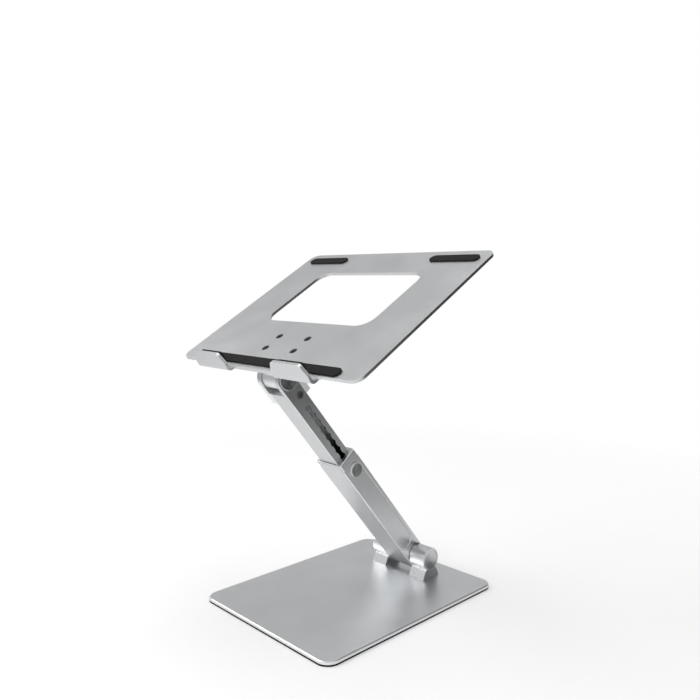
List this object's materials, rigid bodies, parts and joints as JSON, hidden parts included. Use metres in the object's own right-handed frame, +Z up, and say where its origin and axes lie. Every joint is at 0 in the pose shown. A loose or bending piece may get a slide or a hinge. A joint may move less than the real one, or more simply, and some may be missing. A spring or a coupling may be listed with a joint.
{
  "type": "laptop stand",
  "caption": "Desk laptop stand: flat base plate, notched telescoping arm between two friction hinges, and a vented tray with front lips and rubber pads.",
  "frame": {"origin": "centre of the base's underside, on the table", "axes": "+X to the user's right, +Y away from the user, +Z up; the arm leans from its rear hinge towards the user"},
  "size_m": [0.262, 0.252, 0.3573],
  "materials": {
    "satin_plate": "satin, blasted and anodised",
    "satin_arm": "satin, anodised",
    "bright_trim": "bright, turned",
    "rubber_pad": "matte",
    "steel": "ground",
    "black_screw": "black oxide",
    "nylon": "matte"
  },
  "bodies": {
    "base": {"base_plate": "satin_plate", "base_pad": "rubber_pad", "left_hinge_bracket": "satin_arm", "right_hinge_bracket": "satin_arm", "base_screws": "black_screw", "base_hinge_bolt": "steel", "base_hinge_nut": "steel", "base_disc_springs": "steel", "base_friction_washers": "steel", "left_base_cap": "bright_trim", "right_base_cap": "bright_trim"},
    "lower_link": {"lower_sleeve": "satin_arm", "sleeve_collar": "bright_trim", "sleeve_liner": "nylon", "base_bushes": "nylon", "lock_spring": "steel"},
    "lock": {"lock_button": "bright_trim", "lock_plunger": "steel"},
    "upper_link": {"upper_arm": "satin_arm", "arm_guide": "nylon", "tray_hinge_pin": "steel", "left_tray_cap": "bright_trim", "right_tray_cap": "bright_trim", "tray_friction_washers": "steel", "head_clamp_screw": "black_screw"},
    "tray": {"tray_plate": "satin_plate", "tray_knuckle": "satin_arm", "tray_bush": "nylon", "tray_screws": "black_screw", "front_tray_pad": "rubber_pad", "rear_tray_pads": "rubber_pad", "lip_pads": "rubber_pad"}
  },
  "joints": [
    {"name": "base_hinge", "type": "hinge", "parent": "base", "child": "lower_link", "pos_m": [0, 0.0835, 0.0244], "axis": [1, 0, 0], "range_deg": [-49, 42]},
    {"name": "telescope", "type": "slide", "parent": "lower_link", "child": "upper_link", "axis": [0, -0.6361, 0.7716], "range_m": [-0.06, 0]},
    {"name": "tray_hinge", "type": "hinge", "parent": "upper_link", "child": "tray", "pos_m": [0, -0.09082, 0.23878], "axis": [1, 0, 0], "range_deg": [-78, 60]},
    {"name": "lock_press", "type": "slide", "parent": "lower_link", "child": "lock", "axis": [-1, 0, 0], "range_m": [0, 0.0026], "stiffness_N_per_m": 400, "springref_m": -0.002, "deforming": ["lock_spring"]}
  ]
}
